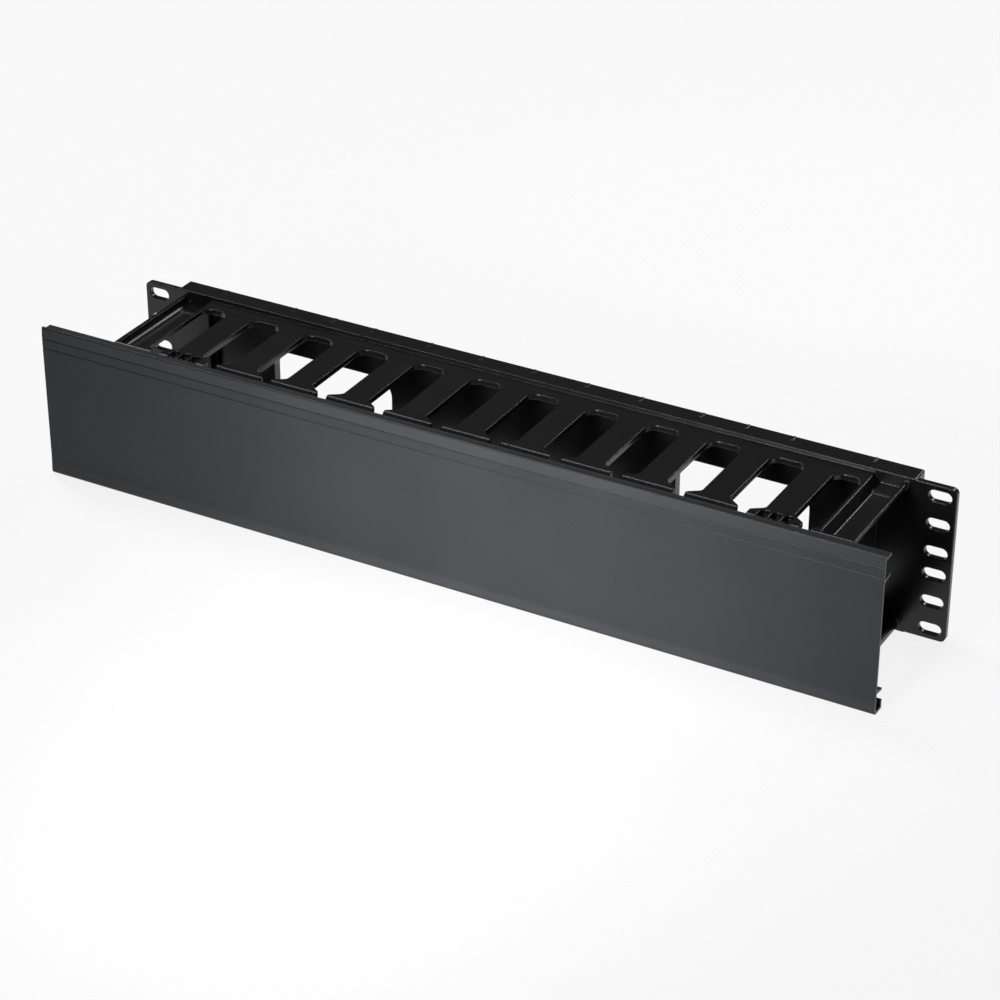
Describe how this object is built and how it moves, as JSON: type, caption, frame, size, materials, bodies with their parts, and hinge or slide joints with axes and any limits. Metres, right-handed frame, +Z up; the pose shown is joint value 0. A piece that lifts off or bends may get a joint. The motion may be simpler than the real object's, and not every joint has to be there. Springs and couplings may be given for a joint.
{
  "type": "horizontal cable manager",
  "caption": "Horizontal rack cable manager: a moulded trough with comb fingers above and below, rear cable pass-throughs, slotted ears and a hinged clip-on front cover.",
  "frame": {"origin": "middle of the panel's width, on the face of the ears that sits on the rack rails, at the foot of the two rack units", "axes": "+X along the panel, +Y towards the back of the rack, +Z up; the cover is at the front, -Y"},
  "size_m": [0.4964, 0.0897, 0.0904],
  "materials": {
    "black_plastic": "fine moulded texture",
    "grey_plastic": "satin extrusion"
  },
  "bodies": {
    "frame": {"base_moulding": "black_plastic"},
    "cover": {"front_cover": "grey_plastic"}
  },
  "joints": [
    {"name": "cover_hinge", "type": "hinge", "parent": "frame", "child": "cover", "pos_m": [0, -0.0767, 0.0046], "axis": [1, 0, 0], "range_deg": [0, 90]}
  ]
}
